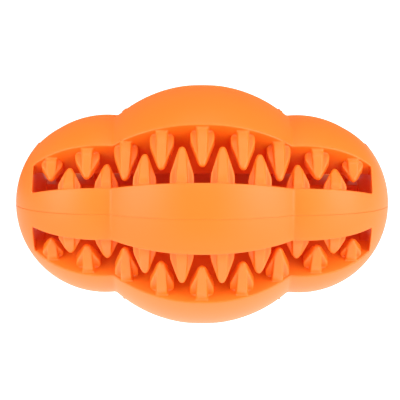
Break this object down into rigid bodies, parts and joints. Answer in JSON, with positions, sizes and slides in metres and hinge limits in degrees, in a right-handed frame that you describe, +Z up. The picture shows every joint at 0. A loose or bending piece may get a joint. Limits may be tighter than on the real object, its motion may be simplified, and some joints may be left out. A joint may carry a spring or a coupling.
{
  "type": "rubber chew toy",
  "caption": "Hollow three-lobed rubber chew toy with long slots round its body, each lined with two interleaved rows of cross-ribbed teeth.",
  "frame": {"origin": "middle of the toy, on its long axis and on the plane of the moulding seam", "axes": "+X along the toy's length, -Y out of the band that faces the camera in the picture, +Z up at rest"},
  "size_m": [0.1106, 0.0718, 0.0696],
  "materials": {
    "orange_rubber": "moulded satin"
  },
  "bodies": {
    "root": {"upper_half": "orange_rubber", "lower_half": "orange_rubber", "front_band_upper_teeth": "orange_rubber", "front_band_lower_teeth": "orange_rubber", "upper_front_band_front_teeth": "orange_rubber", "upper_front_band_top_teeth": "orange_rubber", "upper_back_band_top_teeth": "orange_rubber", "upper_back_band_back_teeth": "orange_rubber", "back_band_upper_teeth": "orange_rubber", "back_band_lower_teeth": "orange_rubber", "lower_back_band_back_teeth": "orange_rubber", "lower_back_band_bottom_teeth": "orange_rubber", "lower_front_band_bottom_teeth": "orange_rubber", "lower_front_band_front_teeth": "orange_rubber"}
  },
  "joints": []
}
